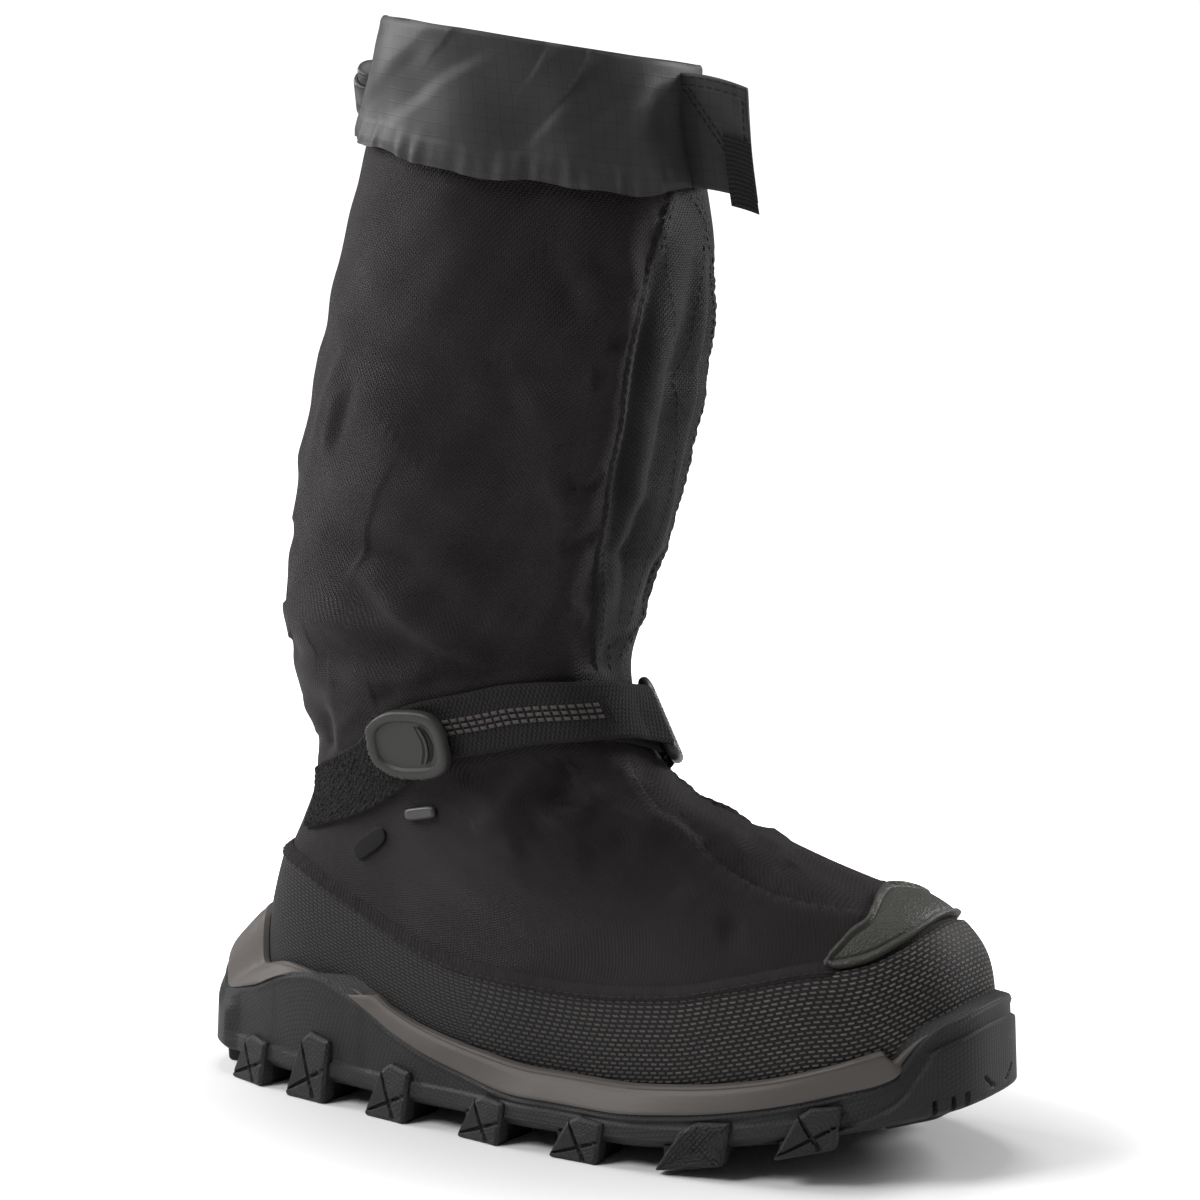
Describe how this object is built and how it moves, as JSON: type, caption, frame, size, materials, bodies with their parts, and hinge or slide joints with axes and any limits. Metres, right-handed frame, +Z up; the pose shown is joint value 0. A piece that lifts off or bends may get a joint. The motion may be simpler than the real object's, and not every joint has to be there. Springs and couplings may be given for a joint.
{
  "type": "winter overshoe",
  "caption": "Tall cloth winter overshoe with a mesh rand, an ankle strap, a toe guard and a lugged rubber sole.",
  "frame": {"origin": "on the floor plane, under the middle of the sole's length and on its centre line", "axes": "+Z up, +X from the heel to the toe, -Y to the outer (lateral) side of this right shoe"},
  "size_m": [0.3194, 0.1252, 0.3964],
  "materials": {
    "sole_rubber": "matt dark grey rubber",
    "midsole_foam": "matt taupe foam rubber",
    "insole_felt": "dark felt",
    "black_cloth": "black plain-weave cloth",
    "mesh_cloth": "coarse dark mesh",
    "guard_rubber": "pebbled grey rubber",
    "grey_ripstop": "charcoal cloth with a fine grid and a slight sheen",
    "black_webbing": "black woven webbing",
    "grey_plastic": "satin dark grey",
    "tab_rubber": "smooth grey rubber",
    "fuzzy_tape": "black fuzzy loop tape",
    "label_cloth": "plain black folded tape"
  },
  "bodies": {
    "root": {"outsole": "sole_rubber", "midsole": "midsole_foam", "insole": "insole_felt", "upper": "black_cloth", "rand": "mesh_cloth", "toe_guard": "guard_rubber", "cuff": "grey_ripstop", "cuff_flap": "grey_ripstop", "flap_tape": "black_webbing", "cord_lock_body": "grey_plastic", "cord_lock_button": "grey_plastic", "strap": "black_webbing", "strap_pull_tab": "tab_rubber", "strap_loop": "grey_plastic", "loop_webbing": "black_webbing", "strap_patch": "fuzzy_tape", "strap_bar": "grey_plastic", "strap_label": "label_cloth"}
  },
  "joints": []
}
